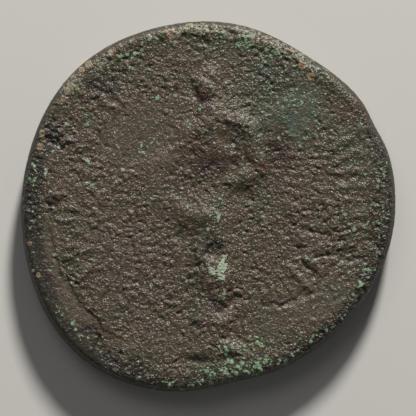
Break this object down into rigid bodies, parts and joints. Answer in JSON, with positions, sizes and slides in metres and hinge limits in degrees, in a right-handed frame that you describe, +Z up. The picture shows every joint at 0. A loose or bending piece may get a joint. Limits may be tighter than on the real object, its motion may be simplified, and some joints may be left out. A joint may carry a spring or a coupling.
{
  "type": "roman bronze coin",
  "caption": "Thick, uneven struck bronze disc, worn and corroded, with a standing draped figure in low relief above and a bust in profile below.",
  "frame": {"origin": "middle of the flan's outline, on the surface that the coin lies on", "axes": "+Z up out of the face with the standing figure, +Y towards the figure's head, +X to the right of the figure as seen from above"},
  "size_m": [0.0318, 0.0314, 0.004],
  "materials": {
    "patinated_bronze": "granular brown-grey corrosion with green verdigris crust and a few bare copper spots"
  },
  "bodies": {
    "root": {"coin": "patinated_bronze"}
  },
  "joints": []
}
